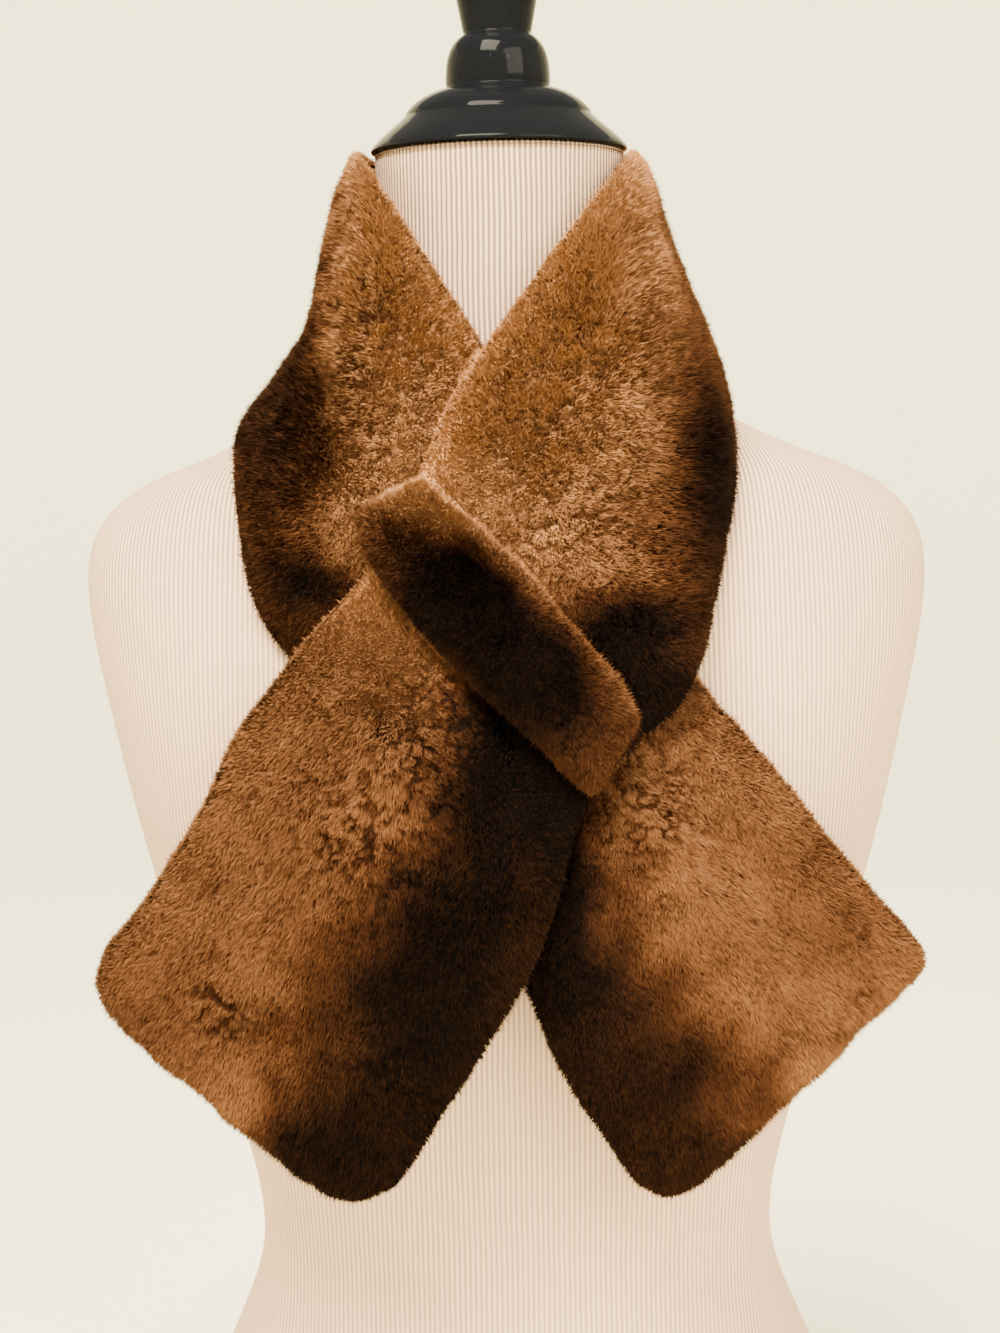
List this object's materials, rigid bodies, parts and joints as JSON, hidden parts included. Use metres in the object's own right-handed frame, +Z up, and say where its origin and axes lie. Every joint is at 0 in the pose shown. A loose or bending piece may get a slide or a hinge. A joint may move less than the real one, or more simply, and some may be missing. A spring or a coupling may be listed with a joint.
{
  "type": "fur collar wrap on a dress form",
  "caption": "Sheared-fur collar wrap, crossed on the chest and held by a keeper band, on a limbless dress form with a turned neck cap.",
  "frame": {"origin": "centre of the dress form's flat underside", "axes": "+Z up along the form's neck, -Y towards the viewer in front of the chest, +X to the viewer's right"},
  "size_m": [0.369, 0.2635, 0.8006],
  "materials": {
    "cover": "ribbed knit",
    "lacquer": "high gloss lacquer",
    "fur": "dense sheared fur",
    "fur_dark": "dense sheared fur"
  },
  "bodies": {
    "root": {"form_body": "cover", "neck_cap": "lacquer", "collar_back": "fur", "left_front": "fur", "right_tail": "fur", "right_front": "fur", "left_tail": "fur", "keeper_band": "fur_dark"}
  },
  "joints": []
}
